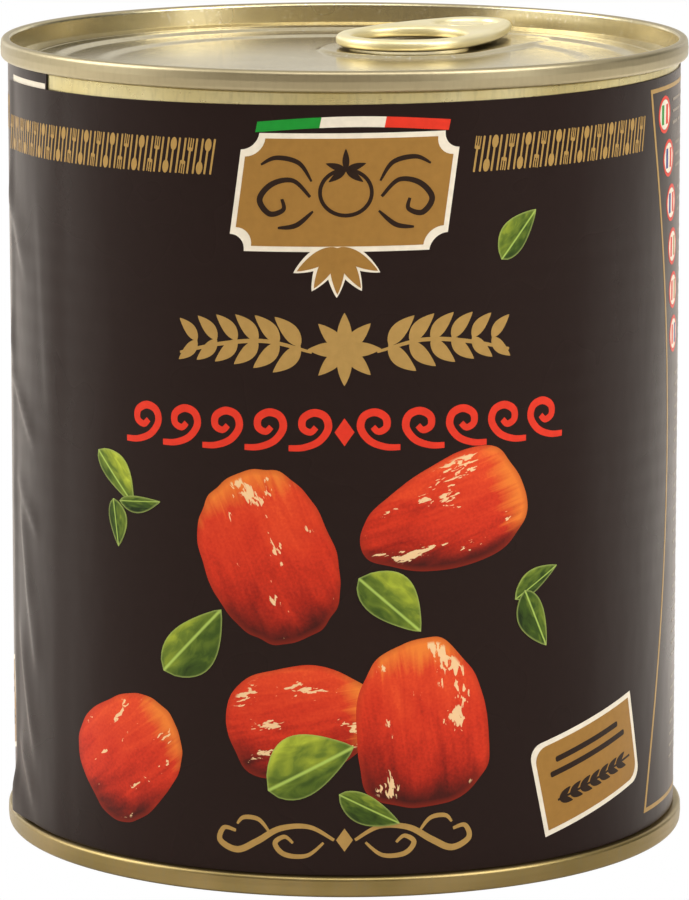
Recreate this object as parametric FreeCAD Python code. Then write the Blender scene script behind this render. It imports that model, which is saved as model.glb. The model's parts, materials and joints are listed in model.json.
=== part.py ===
"""Round food can with an easy-open ring-pull lid and a wrapped paper label.

Units are millimetres. +Z is up, the origin is the centre of the bottom rim's standing face,
and the front of the label faces -Y. Angles round the can are in degrees from the front,
positive towards +X.
"""
import FreeCAD
import Part
import math
import os

# --- Can: overall size and sheet metal ------------------------------------------------------
CAN_HEIGHT = 118.5
BODY_RADIUS = 49.6          # outside of the body cylinder, which the label is wrapped on
SHEET = 0.22                # thickness of the tinplate ends
SEAM_HEIGHT = 3.0           # double seam, rim to lower lip
SEAM_STEP = 1.3             # how far the seam stands out from the body
SEAM_WIDTH = 1.45           # radial width of the seam at its crest
CREST_FLAT = 0.25           # width of the flat ring left on top of the crest
SEAM_LIP_ROUND = 0.6        # rounding where the seam turns in to the body

# --- Body: pressed stiffening beads ---------------------------------------------------------
BEAD_COUNT = 15
BEAD_PITCH = 3.87
BEAD_WIDTH = 2.7
BEAD_DEPTH = 0.45
BEAD_ROUND = 1.6
BEAD_SHIFT = 6.05           # the middle bead lies this far above the can's half height

# --- Ends: what both share, measured down from the rim or in from the body -------------------
CHUCK_LEAN = 0.35           # the chuck wall leans in by this much on its way down
GROOVE_DEPTH = 5.3          # countersink groove beside the chuck wall
GROOVE_WIDTH = 2.0
GROOVE_ROUND = 0.6
EDGE_ROUND = 0.45           # rounding of the panel's outer edge

# --- Lid panel: three levels joined by two soft steps ---------------------------------------
LID_OUTER_DEPTH = 3.2       # ring that carries the score line
LID_MIDDLE_DEPTH = 3.65
LID_CENTRE_DEPTH = 3.93
LID_OUTER_RING = 3.9        # width of the outer ring, from the panel's edge to its step
LID_STEP_OUTER_RUN = 1.4
LID_MIDDLE_RING = 6.7       # from the outer step to the inner one
LID_STEP_INNER_RUN = 1.7
LID_STEP_ROUND = 1.0
SCORE_INSET = 1.1           # score line, in from the panel's edge
SCORE_WIDTH = 0.36
SCORE_DEPTH = 0.12

# --- Bottom panel: rings that let the end breathe -------------------------------------------
BASE_OUTER_DEPTH = 3.3
BASE_RING_DROP = 0.5        # each ring steps towards the rim's inside by this much
BASE_RING_RUN = 1.3
BASE_RING_INSETS = [5.6, 14.1, 22.6]    # in from the panel's edge
BASE_STEP_ROUND = 0.9

# --- Pull tab: a rolled ring and a nose, riveted to the lid ---------------------------------
TAB_AZIMUTH = 149.0         # the tab points at the back, turned towards +X
TAB_NOSE_INSET = 3.2        # nose tip, in from the panel's edge
TAB_LENGTH = 36.2
TAB_NOSE_RADIUS = 6.4
TAB_SIDE_RADIUS = 48.0      # the slightly bowed sides between ring and nose
TAB_THICKNESS = 1.85
TAB_LIFT = 0.55             # underside of the nose above the raised platform
TAB_TILT = 0.7              # the ring's end lies this many degrees lower than the nose
TAB_CURL_ROUND = 0.88
HOLE_LENGTH = 17.9
HOLE_WIDTH = 17.4
HOLE_RIM = 2.2              # rolled rim round the hole, at its sides and at the tab's end
HOLE_CURL_ROUND = 0.8
WEB_THICKNESS = 0.5
WEB_DROP = 0.7              # the web lies below the top of the rolled edge
WEB_LENGTH = 11.2
WEB_WIDTH = 9.6
WEB_CURL_ROUND = 0.6
NOSE_RIM = 2.1

# --- Rivet and the platform pressed up under the tab -----------------------------------------
PLATFORM_RISE = 0.43        # above the centre panel
PLATFORM_MARGIN = 2.2       # platform edge, out from the tab's ring
PLATFORM_ROUND = 0.38
RIVET_SHANK_RADIUS = 1.6
RIVET_HEAD_RADIUS = 2.7
RIVET_HEAD_HEIGHT = 0.45
RIVET_HEAD_ROUND = 0.3
RIVET_BOSS_RADIUS = 3.9
RIVET_CLEARANCE = 0.1

# --- Label: one sheet of paper, its ends lapped at the left ----------------------------------
PAPER = 0.15
GLUE_GAP = 0.02
LABEL_BOTTOM_GAP = 0.05     # above the bottom seam
LABEL_TOP_MARGIN = 1.8      # bare metal below the top seam
UNDERLAP_FROM = -78.0
UNDERLAP_TO = -59.4
UNDERLAP_GAP = 0.05         # below the top seam, and above the label's edge

SEAM_RADIUS = BODY_RADIUS + SEAM_STEP
CHUCK_TOP_RADIUS = SEAM_RADIUS - SEAM_WIDTH
CHUCK_FOOT_RADIUS = CHUCK_TOP_RADIUS - CHUCK_LEAN
PANEL_RADIUS = CHUCK_FOOT_RADIUS - GROOVE_WIDTH
BEAD_MIDDLE = CAN_HEIGHT / 2 + BEAD_SHIFT
LID_STEP_OUTER = PANEL_RADIUS - LID_OUTER_RING
LID_STEP_INNER = LID_STEP_OUTER - LID_MIDDLE_RING
BASE_RINGS = [PANEL_RADIUS - inset for inset in BASE_RING_INSETS]
TAB_NOSE_REACH = PANEL_RADIUS - TAB_NOSE_INSET
TAB_RING_RADIUS = HOLE_WIDTH / 2 + HOLE_RIM
PLATFORM_DEPTH = LID_CENTRE_DEPTH - PLATFORM_RISE
TAB_BOTTOM = CAN_HEIGHT - PLATFORM_DEPTH + TAB_LIFT
TAB_TOP = TAB_BOTTOM + TAB_THICKNESS
Z_AXIS = FreeCAD.Vector(0, 0, 1)
ORIGIN = FreeCAD.Vector(0, 0, 0)


# --- Profiles ---------------------------------------------------------------------------------
def unit(start, end):
    length = math.hypot(end[0] - start[0], end[1] - start[1])
    return (end[0] - start[0]) / length, (end[1] - start[1]) / length


def offset_path(path, distance):
    """Shift an open path (radius, height, rounding) sideways, to its right-hand side."""
    shifted = []
    for index, (x, z, rounding) in enumerate(path):
        before = unit(path[index - 1], path[index]) if index > 0 else None
        after = unit(path[index], path[index + 1]) if index < len(path) - 1 else None
        if before is None or after is None:
            direction = before or after
            shifted.append((x + distance * direction[1], z - distance * direction[0], 0.0))
            continue
        turn = math.atan2(before[0] * after[1] - before[1] * after[0],
                          before[0] * after[0] + before[1] * after[1])
        normal = (before[1] + after[1], -before[0] - after[0])
        scale = distance / (1.0 + before[0] * after[0] + before[1] * after[1])
        new_round = rounding + math.copysign(distance, turn)
        shifted.append((x + normal[0] * scale, z + normal[1] * scale, max(new_round, 0.0)))
    return shifted


def rounded_wire(corners):
    """Closed wire in the XZ plane through (x, z, rounding) corners."""
    starts = []
    ends = []
    middles = []
    count = len(corners)
    for index, (x, z, rounding) in enumerate(corners):
        corner = FreeCAD.Vector(x, 0, z)
        if rounding <= 0.0:
            starts.append(corner)
            ends.append(corner)
            middles.append(None)
            continue
        back = unit(corners[index], corners[index - 1])
        ahead = unit(corners[index], corners[(index + 1) % count])
        half = 0.5 * math.acos(back[0] * ahead[0] + back[1] * ahead[1])
        reach = rounding / math.tan(half)
        bisector = unit((0.0, 0.0), (back[0] + ahead[0], back[1] + ahead[1]))
        depth = rounding / math.sin(half) - rounding
        starts.append(corner + FreeCAD.Vector(back[0], 0, back[1]) * reach)
        ends.append(corner + FreeCAD.Vector(ahead[0], 0, ahead[1]) * reach)
        middles.append(corner + FreeCAD.Vector(bisector[0], 0, bisector[1]) * depth)
    edges = []
    for index in range(count):
        if middles[index] is not None:
            edges.append(Part.Arc(starts[index], middles[index], ends[index]).toShape())
        following = starts[(index + 1) % count]
        if (following - ends[index]).Length > 1e-6:
            edges.append(Part.LineSegment(ends[index], following).toShape())
    return Part.Wire(edges)


def turned(corners):
    """Solid of revolution about the can's axis."""
    return Part.Face(rounded_wire(corners)).revolve(ORIGIN, Z_AXIS, 360)


def end_path(panel):
    """Upper face of an end, from its centre out to the rim, as depths below the rim."""
    groove = [
        (PANEL_RADIUS, panel[-1][1], EDGE_ROUND),
        (PANEL_RADIUS, -GROOVE_DEPTH, GROOVE_ROUND),
        (CHUCK_FOOT_RADIUS, -GROOVE_DEPTH, GROOVE_ROUND),
    ]
    return panel + groove + [(CHUCK_TOP_RADIUS, 0.0, 0.0)]


def seat_path(panel):
    """Underside of an end, where the body and its contents meet it, out to the body wall."""
    under = offset_path(end_path(panel), SHEET)
    foot = under[-2]
    top = under[-1]
    share = (-SEAM_HEIGHT - foot[1]) / (top[1] - foot[1])
    inner = foot[0] + share * (top[0] - foot[0])
    return under[:-1] + [(inner, -SEAM_HEIGHT, 0.0), (BODY_RADIUS, -SEAM_HEIGHT, 0.0)]


def lifted(path, height, flip=1.0):
    """Place a path of depths at a rim: flip is 1 for the lid and -1 for the bottom."""
    return [(x, height + flip * z, rounding) for x, z, rounding in path]


def end_corners(panel, notch):
    """Whole section of an end: upper face, crest, outer face and underside."""
    upper = end_path(panel)
    crest_round = (SEAM_WIDTH - CREST_FLAT) / 2
    crest = [
        (CHUCK_TOP_RADIUS, 0.0, crest_round),
        (SEAM_RADIUS, 0.0, crest_round),
        (SEAM_RADIUS, -SEAM_HEIGHT, SEAM_LIP_ROUND),
    ]
    face = panel + notch + upper[len(panel):-1]
    return face + crest + list(reversed(seat_path(panel)))


def lid_panel():
    return [
        (0.0, -LID_CENTRE_DEPTH, 0.0),
        (LID_STEP_INNER - LID_STEP_INNER_RUN, -LID_CENTRE_DEPTH, LID_STEP_ROUND),
        (LID_STEP_INNER, -LID_MIDDLE_DEPTH, LID_STEP_ROUND),
        (LID_STEP_OUTER - LID_STEP_OUTER_RUN, -LID_MIDDLE_DEPTH, LID_STEP_ROUND),
        (LID_STEP_OUTER, -LID_OUTER_DEPTH, LID_STEP_ROUND),
    ]


def score_notch():
    middle = PANEL_RADIUS - SCORE_INSET
    return [
        (middle - SCORE_WIDTH / 2, -LID_OUTER_DEPTH, 0.0),
        (middle, -LID_OUTER_DEPTH - SCORE_DEPTH, 0.0),
        (middle + SCORE_WIDTH / 2, -LID_OUTER_DEPTH, 0.0),
    ]


def base_panel():
    depth = BASE_OUTER_DEPTH + BASE_RING_DROP * len(BASE_RINGS)
    path = [(0.0, -depth, 0.0)]
    for radius in reversed(BASE_RINGS):
        path.append((radius - BASE_RING_RUN, -depth, BASE_STEP_ROUND))
        depth -= BASE_RING_DROP
        path.append((radius, -depth, BASE_STEP_ROUND))
    return path


def wall_path():
    """Body wall from the top seam down to the bottom seam, with its beads."""
    path = []
    top_bead = BEAD_MIDDLE + BEAD_PITCH * (BEAD_COUNT - 1) / 2
    for index in range(BEAD_COUNT):
        middle = top_bead - index * BEAD_PITCH
        path.append((BODY_RADIUS, middle + BEAD_WIDTH / 2, BEAD_ROUND))
        path.append((BODY_RADIUS - BEAD_DEPTH, middle, BEAD_ROUND))
        path.append((BODY_RADIUS, middle - BEAD_WIDTH / 2, BEAD_ROUND))
    return path


# --- Tab outlines, drawn along +X with the nose outwards ---------------------------------------
def tab_face():
    """Ring arc, bowed sides and nose arc, all tangent, as one face at height zero."""
    ring = FreeCAD.Vector(TAB_NOSE_REACH - TAB_LENGTH + TAB_RING_RADIUS, 0, 0)
    nose = FreeCAD.Vector(TAB_NOSE_REACH - TAB_NOSE_RADIUS, 0, 0)
    span = nose.x - ring.x
    to_ring = TAB_SIDE_RADIUS - TAB_RING_RADIUS
    to_nose = TAB_SIDE_RADIUS - TAB_NOSE_RADIUS
    along = (to_ring ** 2 - to_nose ** 2 + span ** 2) / (2 * span)
    across = math.sqrt(to_ring ** 2 - along ** 2)
    edges = []
    contacts = []
    for side in (1, -1):
        centre = FreeCAD.Vector(ring.x + along, -side * across, 0)
        at_ring = ring + (ring - centre).normalize() * TAB_RING_RADIUS
        at_nose = nose + (nose - centre).normalize() * TAB_NOSE_RADIUS
        middle = (at_ring + at_nose) * 0.5
        bow = centre + (middle - centre).normalize() * TAB_SIDE_RADIUS
        edges.append(Part.Arc(at_ring, bow, at_nose).toShape())
        contacts.append((at_ring, at_nose))
    ring_end = ring - FreeCAD.Vector(TAB_RING_RADIUS, 0, 0)
    nose_tip = nose + FreeCAD.Vector(TAB_NOSE_RADIUS, 0, 0)
    edges.append(Part.Arc(contacts[0][1], nose_tip, contacts[1][1]).toShape())
    edges.append(Part.Arc(contacts[1][0], ring_end, contacts[0][0]).toShape())
    return Part.Face(Part.Wire(Part.__sortEdges__(edges)))


def oval_face(centre_x, length, width):
    """Ellipse, its long side along whichever of length and width is greater."""
    centre = FreeCAD.Vector(centre_x, 0, 0)
    if length >= width:
        curve = Part.Ellipse(centre, length / 2, width / 2)
        return Part.Face(Part.Wire(curve.toShape()))
    far = FreeCAD.Vector(centre_x, width / 2, 0)
    side = FreeCAD.Vector(centre_x + length / 2, 0, 0)
    return Part.Face(Part.Wire(Part.Ellipse(far, side, centre).toShape()))


def prism(face, bottom, top):
    solid = face.extrude(FreeCAD.Vector(0, 0, top - bottom))
    solid.translate(FreeCAD.Vector(0, 0, bottom))
    return solid


def rim_edges(solid, height):
    """Edges of a prism that lie flat at one height."""
    return [edge for edge in solid.Edges
            if abs(edge.BoundBox.ZMin - height) < 1e-4 and abs(edge.BoundBox.ZMax - height) < 1e-4]


def aimed(shape):
    """Turn a shape drawn along +X to the tab's direction on the lid."""
    return shape.rotated(ORIGIN, Z_AXIS, TAB_AZIMUTH - 90.0)


def tab_stations():
    """Centres of the finger hole, the web and the rivet, from the can's axis."""
    hole = TAB_NOSE_REACH - TAB_LENGTH + HOLE_RIM + HOLE_LENGTH / 2
    web = TAB_NOSE_REACH - NOSE_RIM - WEB_LENGTH / 2
    return hole, web


# --- Pieces ---------------------------------------------------------------------------------
def can_body():
    """Body and what it holds, one closed solid out to the undersides of both ends."""
    top = lifted(seat_path(lid_panel()), CAN_HEIGHT)
    bottom = lifted(seat_path(base_panel()), 0.0, -1.0)
    return turned(top + wall_path() + list(reversed(bottom)))


def raised_platform():
    """Flat pressed up under the tab, from the front of its ring to the outer step."""
    ring_x = TAB_NOSE_REACH - TAB_LENGTH + TAB_RING_RADIUS
    radius = TAB_RING_RADIUS + PLATFORM_MARGIN
    bottom = CAN_HEIGHT - LID_CENTRE_DEPTH - SHEET / 2
    top = CAN_HEIGHT - PLATFORM_DEPTH
    height = top - bottom
    disc = Part.makeCylinder(radius, height, FreeCAD.Vector(ring_x, 0, bottom))
    run = Part.makeBox(LID_STEP_OUTER, 2 * radius, height, FreeCAD.Vector(ring_x, -radius, bottom))
    slab = disc.fuse(run).removeSplitter()
    slab = slab.makeFillet(PLATFORM_ROUND, rim_edges(slab, top))
    limit = Part.makeCylinder(LID_STEP_OUTER - LID_STEP_OUTER_RUN / 2, CAN_HEIGHT)
    return slab.common(limit)


def rivet():
    """Boss under the web, shank through it and head on top, pressed from the lid itself."""
    rivet_x = tab_stations()[1]
    web_top = TAB_TOP - WEB_DROP
    web_bottom = web_top - WEB_THICKNESS
    foot = FreeCAD.Vector(rivet_x, 0, CAN_HEIGHT - LID_MIDDLE_DEPTH - SHEET / 2)
    boss = Part.makeCylinder(RIVET_BOSS_RADIUS, web_bottom - RIVET_CLEARANCE - foot.z, foot)
    shank = Part.makeCylinder(RIVET_SHANK_RADIUS, web_top + RIVET_HEAD_HEIGHT - foot.z, foot)
    head_foot = FreeCAD.Vector(rivet_x, 0, web_top + RIVET_CLEARANCE)
    head = Part.makeCylinder(RIVET_HEAD_RADIUS, RIVET_HEAD_HEIGHT, head_foot)
    head = head.makeFillet(RIVET_HEAD_ROUND, rim_edges(head, head_foot.z + RIVET_HEAD_HEIGHT))
    return boss.fuse([shank, head])


def top_end():
    lid = turned(lifted(end_corners(lid_panel(), score_notch()), CAN_HEIGHT))
    pressed = aimed(raised_platform()).cut(can_body())
    return lid.fuse([pressed, aimed(rivet())]).removeSplitter()


def bottom_end():
    return turned(lifted(end_corners(base_panel(), []), 0.0, -1.0))


def rolled(solid, centre_x, length, rounding):
    """Round both rims of one opening in the tab, given its middle and its length."""
    found = []
    for height in (TAB_TOP, TAB_BOTTOM):
        for edge in rim_edges(solid, height):
            box = edge.BoundBox
            if box.XMin > centre_x - 0.51 * length and box.XMax < centre_x + 0.51 * length:
                found.append(edge)
    return solid.makeFillet(rounding, found)


def pull_tab():
    hole_x, web_x = tab_stations()
    web_top = TAB_TOP - WEB_DROP
    web_bottom = web_top - WEB_THICKNESS
    blank = prism(tab_face(), TAB_BOTTOM, TAB_TOP)
    blank = blank.makeFillet(TAB_CURL_ROUND, rim_edges(blank, TAB_TOP) + rim_edges(blank, TAB_BOTTOM))
    hole = prism(oval_face(hole_x, HOLE_LENGTH, HOLE_WIDTH), TAB_BOTTOM - 1, TAB_TOP + 1)
    tab = rolled(blank.cut(hole), hole_x, HOLE_LENGTH, HOLE_CURL_ROUND)
    pocket = oval_face(web_x, WEB_LENGTH, WEB_WIDTH)
    above = prism(pocket, web_top, TAB_TOP + 1)
    below = prism(pocket, TAB_BOTTOM - 1, web_bottom)
    tab = rolled(tab.cut([above, below]), web_x, WEB_LENGTH, WEB_CURL_ROUND)
    shank_radius = RIVET_SHANK_RADIUS + RIVET_CLEARANCE
    shank_foot = FreeCAD.Vector(web_x, 0, TAB_BOTTOM - 1)
    tab = tab.cut(Part.makeCylinder(shank_radius, TAB_THICKNESS + 2, shank_foot))
    web_middle = FreeCAD.Vector(web_x, 0, web_bottom + WEB_THICKNESS / 2)
    return aimed(tab.rotated(web_middle, FreeCAD.Vector(0, 1, 0), -TAB_TILT))


def wrapped_strip(start, end, bottom, top):
    """Paper on the body between two angles round the can, or all round."""
    inner = BODY_RADIUS + GLUE_GAP
    sweep = end - start
    foot = FreeCAD.Vector(0, 0, bottom)
    outside = Part.makeCylinder(inner + PAPER, top - bottom, foot, Z_AXIS, sweep)
    inside = Part.makeCylinder(inner, top - bottom, foot, Z_AXIS, sweep)
    return outside.cut(inside).rotated(ORIGIN, Z_AXIS, start - 90.0)


def label_top():
    return CAN_HEIGHT - SEAM_HEIGHT - LABEL_TOP_MARGIN


def paper_label():
    return wrapped_strip(0.0, 360.0, SEAM_HEIGHT + LABEL_BOTTOM_GAP, label_top())


def label_underlap():
    """End of the sheet under the lap, standing a little above the label's top edge."""
    bottom = label_top() + UNDERLAP_GAP
    top = CAN_HEIGHT - SEAM_HEIGHT - UNDERLAP_GAP
    return wrapped_strip(UNDERLAP_FROM, UNDERLAP_TO, bottom, top)


PIECES = {
    "can_body": can_body,
    "top_end": top_end,
    "bottom_end": bottom_end,
    "pull_tab": pull_tab,
    "paper_label": paper_label,
    "label_underlap": label_underlap,
}

os.makedirs("parts", exist_ok=True)
for name, make in PIECES.items():
    shape = make()
    print(name, "solids", len(shape.Solids), "valid", shape.isValid(), "volume", round(shape.Volume, 2))
    shape.exportStep(os.path.join("parts", name + ".step"))
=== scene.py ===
"""Looks for a shut food can: gold-lacquered tinplate, a ring-pull lid and a printed paper label.

Pieces are built in millimetres and stored in metres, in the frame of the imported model: +Z is up
and the label's front faces -Y. On the label, s is the distance round the paper from the front
centre line, positive towards +X, and z is the height above the floor.
"""
import bpy
import json
import math
import random
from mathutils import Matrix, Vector, noise
from mathutils.geometry import delaunay_2d_cdt

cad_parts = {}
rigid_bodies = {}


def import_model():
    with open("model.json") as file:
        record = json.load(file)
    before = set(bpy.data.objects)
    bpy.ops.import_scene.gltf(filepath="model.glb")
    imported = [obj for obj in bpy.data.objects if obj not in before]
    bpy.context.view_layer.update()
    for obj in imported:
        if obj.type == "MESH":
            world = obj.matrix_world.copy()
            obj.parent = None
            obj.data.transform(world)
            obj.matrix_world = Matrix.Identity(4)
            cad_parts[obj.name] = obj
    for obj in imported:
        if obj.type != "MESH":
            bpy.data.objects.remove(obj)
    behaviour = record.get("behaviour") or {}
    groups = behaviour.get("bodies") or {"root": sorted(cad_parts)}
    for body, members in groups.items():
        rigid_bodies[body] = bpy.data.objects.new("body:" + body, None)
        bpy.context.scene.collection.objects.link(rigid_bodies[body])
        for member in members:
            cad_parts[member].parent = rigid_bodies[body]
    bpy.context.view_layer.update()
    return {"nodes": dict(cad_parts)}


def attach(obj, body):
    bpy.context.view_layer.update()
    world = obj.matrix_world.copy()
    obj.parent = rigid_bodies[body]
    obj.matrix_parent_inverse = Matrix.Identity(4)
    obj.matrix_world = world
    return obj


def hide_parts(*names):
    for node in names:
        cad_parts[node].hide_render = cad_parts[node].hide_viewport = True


MM = 0.001
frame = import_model()
for spare in [o for o in bpy.data.objects if o.name in ("Cube", "Light", "Camera")]:
    bpy.data.objects.remove(spare)

# --- Metal sizes, in millimetres --------------------------------------------------------------
CAN_HEIGHT = 118.5
BODY_RADIUS = 49.6
SHEET = 0.22
SEAM_HEIGHT = 3.0
SEAM_RADIUS = 50.9
CHUCK_TOP_RADIUS = 49.45
CHUCK_FOOT_RADIUS = 49.1
GROOVE_DEPTH = 5.3
BEAD_PITCH = 3.87
BEAD_MIDDLE = 65.3
BEAD_COUNT = 15
BEAD_PROFILE = ((1.35, 0.0), (0.6, 0.3), (0.0, 0.45), (-0.6, 0.3), (-1.35, 0.0))   # height, depth
FILL_DEPTH = 6.2                      # of the body's closed top, below the top of the seam

PANEL_RADIUS = 47.1
PANEL_DEPTH = 3.93                    # of the lid's middle
PANEL_EDGE_DEPTH = 3.2
PANEL_UNDERSIDE = 4.6
LID_STEPS = [(35.65, 3.65, 2.4), (42.5, PANEL_EDGE_DEPTH, 2.1)]   # radius, depth outside it, width
SCORE_RADIUS = 46.0
SCORE_DEPTH = 0.10
SCORE_WIDTH = 0.13
PLATFORM_RADIUS = 13.1
PLATFORM_DEPTH = 3.5
TAB_ANGLE = math.radians(59.0)        # direction of the tab's nose, from +X
TAB_RING_AT = 18.6                    # centre of the finger ring, from the can's axis
TAB_CLEARANCE = 0.45
TAB_THICKNESS = 1.85
WEB_DROP = 0.7                        # of the tab's web, below its rolled edge
RIVET_AT = 36.2

BASE_DEPTH = 4.8                      # of the base's middle, above the floor
BASE_RINGS = (24.5, 33.0, 41.5)
BASE_STEP = 0.5

# --- Label sizes, in millimetres --------------------------------------------------------------
PAPER = 0.15
PAPER_INNER = 49.62
ROUND = 2 * math.pi * (PAPER_INNER + PAPER)
OUTER_END = -67.0                     # left edge of the sheet's end that lies on top
INNER_END = ROUND - 51.5              # right edge of the end that lies underneath
LAP_LIFT = 0.19                       # of the outer end, where it lies on the inner one
LABEL_BOTTOM = 3.05
LABEL_TOP = 113.7
LABEL_RIM = 0.08                      # narrow strips along the cut edges keep them crisp
LABEL_ROWS = 112                      # of the sheet's grid
SKEW = 0.0105                         # rise of the sheet for each millimetre to the right
INK = 0.018                           # height of one layer of print
INK_ROOT = 0.03                       # how far the print's solid reaches into the paper
INK_PITCH = 1.3                       # longest side of the print's faces, so that they curve
PICTURE_PITCH = 0.6

BORDER_AT = 106.2                     # heights of the printed motifs' middles
PLAQUE_AT = 101.4
SHEAF_AT = 93.6
SPRIG_AT = 79.4
SCROLLS_AT = 67.3
FLOURISH_AT = 8.3
SEAL = (40.2, 15.3, 13.0)             # s, z and turn of the badge at the lower right
KEYLINE = 0.75                        # width of the pale rim round the plaque and the badge
SECOND_FRONT = 192.0                  # the front's design again, on the can's back

SIDE_LEFT = 54.3                      # side panel's upper corners, top and bottom
SIDE_RIGHT = 127.7
SIDE_TOP = 112.2
SIDE_LENGTH = 107.2
SIDE_BOW = 8.6                        # how far its long sides bow inwards
SIDE_LINE = 0.62
TEXT_PITCH = 1.7

PRINT_GLOSS = 0.16                    # specular level of the varnish over all the inks


# --- Meshes -----------------------------------------------------------------------------------
def add_piece(name, vertices, faces, finish, replaced=(), smooth=True):
    """One finished piece, built in millimetres, riding on the can."""
    mesh = bpy.data.meshes.new(name)
    mesh.from_pydata([(x * MM, y * MM, z * MM) for x, y, z in vertices], [], faces)
    mesh.validate()
    mesh.polygons.foreach_set("use_smooth", [smooth] * len(mesh.polygons))
    mesh.materials.append(finish)
    piece = bpy.data.objects.new(name, mesh)
    bpy.context.scene.collection.objects.link(piece)
    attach(piece, "root")
    if replaced:
        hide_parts(*replaced)
    return piece


def smoothstep(low, high, value):
    """0 at low and 1 at high, with an even curve between; low may be the greater of the two."""
    share = min(max((value - low) / (high - low), 0.0), 1.0)
    return share * share * (3 - 2 * share)


def rounded(corners):
    """Points along a path of (radius, z, rounding) corners, with arcs at the rounded ones."""
    degrees_apart = 9.0
    points = []
    for index, (x, z, radius) in enumerate(corners):
        corner = Vector((x, z))
        if radius <= 0 or index in (0, len(corners) - 1):
            points.append(corner)
            continue
        back = (Vector(corners[index - 1][:2]) - corner).normalized()
        ahead = (Vector(corners[index + 1][:2]) - corner).normalized()
        half = 0.5 * back.angle(ahead)
        middle = corner + (back + ahead).normalized() * (radius / math.sin(half))
        start = corner + back * (radius / math.tan(half))
        first = start - middle
        sweep = math.pi - 2 * half
        turn = -1 if back.x * ahead.y - back.y * ahead.x > 0 else 1
        count = max(2, math.ceil(math.degrees(sweep) / degrees_apart))
        guard = min(0.05, 0.1 * radius)   # short straights keep the arc's shading off the long faces
        points.append(start + back * guard)
        for k in range(count + 1):
            angle = turn * sweep * k / count
            cos, sin = math.cos(angle), math.sin(angle)
            points.append(middle + Vector((first.x * cos - first.y * sin, first.x * sin + first.y * cos)))
        points.append(points[-1] + ahead * guard)
    return [(p.x, p.y) for p in points]


def circle(radius, z, segments):
    """Ring of points about the can's axis."""
    angles = [2 * math.pi * k / segments for k in range(segments)]
    return [(radius * math.sin(angle), -radius * math.cos(angle), z) for angle in angles]


def skinned(rings, top_pole, bottom_pole):
    """Closed surface over rings of points, from a pole on top, round the outside, to one below."""
    segments = len(rings[0])
    vertices = [top_pole] + [point for ring in rings for point in ring] + [bottom_pole]
    last_ring = 1 + (len(rings) - 1) * segments
    faces = []
    for k in range(segments):
        following = (k + 1) % segments
        faces.append((0, 1 + k, 1 + following))
        for this in range(1, last_ring, segments):
            after = this + segments
            faces.append((this + k, after + k, after + following, this + following))
        faces.append((last_ring + following, last_ring + k, len(vertices) - 1))
    return vertices, faces


def lathe(path, segments):
    """Surface of revolution from a path that leaves the axis on top and comes back to it below."""
    rings = [circle(radius, z, segments) for radius, z in path[1:-1]]
    return skinned(rings, (0.0, 0.0, path[0][1]), (0.0, 0.0, path[-1][1]))


# --- Body, lid, base and tab ------------------------------------------------------------------
def seam_path(height, side):
    """From the panel's edge over the groove, the chuck wall and the seam to its lower lip.

    The height is the seam's outer face, and the side is 1 for the lid and -1 for the base.
    """
    corners = [
        (PANEL_RADIUS - 1.6, -PANEL_EDGE_DEPTH, 0.0), (PANEL_RADIUS, -PANEL_EDGE_DEPTH, 0.45),
        (PANEL_RADIUS, -GROOVE_DEPTH, 0.6), (CHUCK_FOOT_RADIUS, -GROOVE_DEPTH, 0.6),
        (CHUCK_TOP_RADIUS, 0.0, 0.62), (SEAM_RADIUS - 0.12, 0.0, 0.7),
        (SEAM_RADIUS, -SEAM_HEIGHT / 2, 1.6), (SEAM_RADIUS - 0.06, -SEAM_HEIGHT, 0.6),
        (BODY_RADIUS - 0.15, -SEAM_HEIGHT, 0.0),
    ]
    return [(x, height + side * z) for x, z in rounded(corners)]


def platform_height(x, y):
    """Height of the panel pressed up under the tab, or well below it outside its outline."""
    along = x * math.cos(TAB_ANGLE) + y * math.sin(TAB_ANGLE)
    across = -x * math.sin(TAB_ANGLE) + y * math.cos(TAB_ANGLE)
    reach = math.hypot(min(along - TAB_RING_AT, 0.0), across) - PLATFORM_RADIUS
    return -PLATFORM_DEPTH - 1.2 * smoothstep(-0.15, 1.15, reach)


def lid_height(x, y):
    """Height of the lid's upper face: the panel's levels, the score line and the platform."""
    radius = math.hypot(x, y)
    depth = PANEL_DEPTH
    for at, outer_depth, width in LID_STEPS:
        depth += (outer_depth - depth) * smoothstep(at - width / 2, at + width / 2, radius)
    depth += SCORE_DEPTH * math.exp(-((radius - SCORE_RADIUS) / SCORE_WIDTH) ** 2)
    panel, raised = -depth, platform_height(x, y)
    peak = max(panel, raised)
    soft = 0.16                           # rounding where the platform meets the panel
    joined = soft * math.log(math.exp((panel - peak) / soft) + math.exp((raised - peak) / soft))
    return CAN_HEIGHT + peak + joined * smoothstep(1.6, 0.0, abs(panel - raised))


def build_lid(finish):
    """Panel as a fine polar grid, joined to the groove, chuck wall and seam."""
    segments, pitch = 384, 0.38
    radii = [0.4 + pitch * k for k in range(118)]
    radii += [SCORE_RADIUS + shift for shift in (-0.4, -0.2, -0.1, 0.0, 0.1, 0.2, 0.4)]
    rings = [[(x, y, lid_height(x, y)) for x, y, _ in circle(radius, 0.0, segments)] for radius in radii]
    under = [(BODY_RADIUS - 0.6, CAN_HEIGHT - SEAM_HEIGHT - 0.02), (47.0, CAN_HEIGHT - GROOVE_DEPTH - SHEET),
             (45.0, CAN_HEIGHT - PANEL_UNDERSIDE)]
    rings += [circle(radius, z, segments) for radius, z in seam_path(CAN_HEIGHT, 1)[1:] + under]
    poles = (0.0, 0.0, lid_height(0.0, 0.0)), (0.0, 0.0, CAN_HEIGHT - PANEL_UNDERSIDE)
    vertices, faces = skinned(rings, *poles)
    return add_piece("lid", vertices, faces, finish, ("top_end",))


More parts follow.
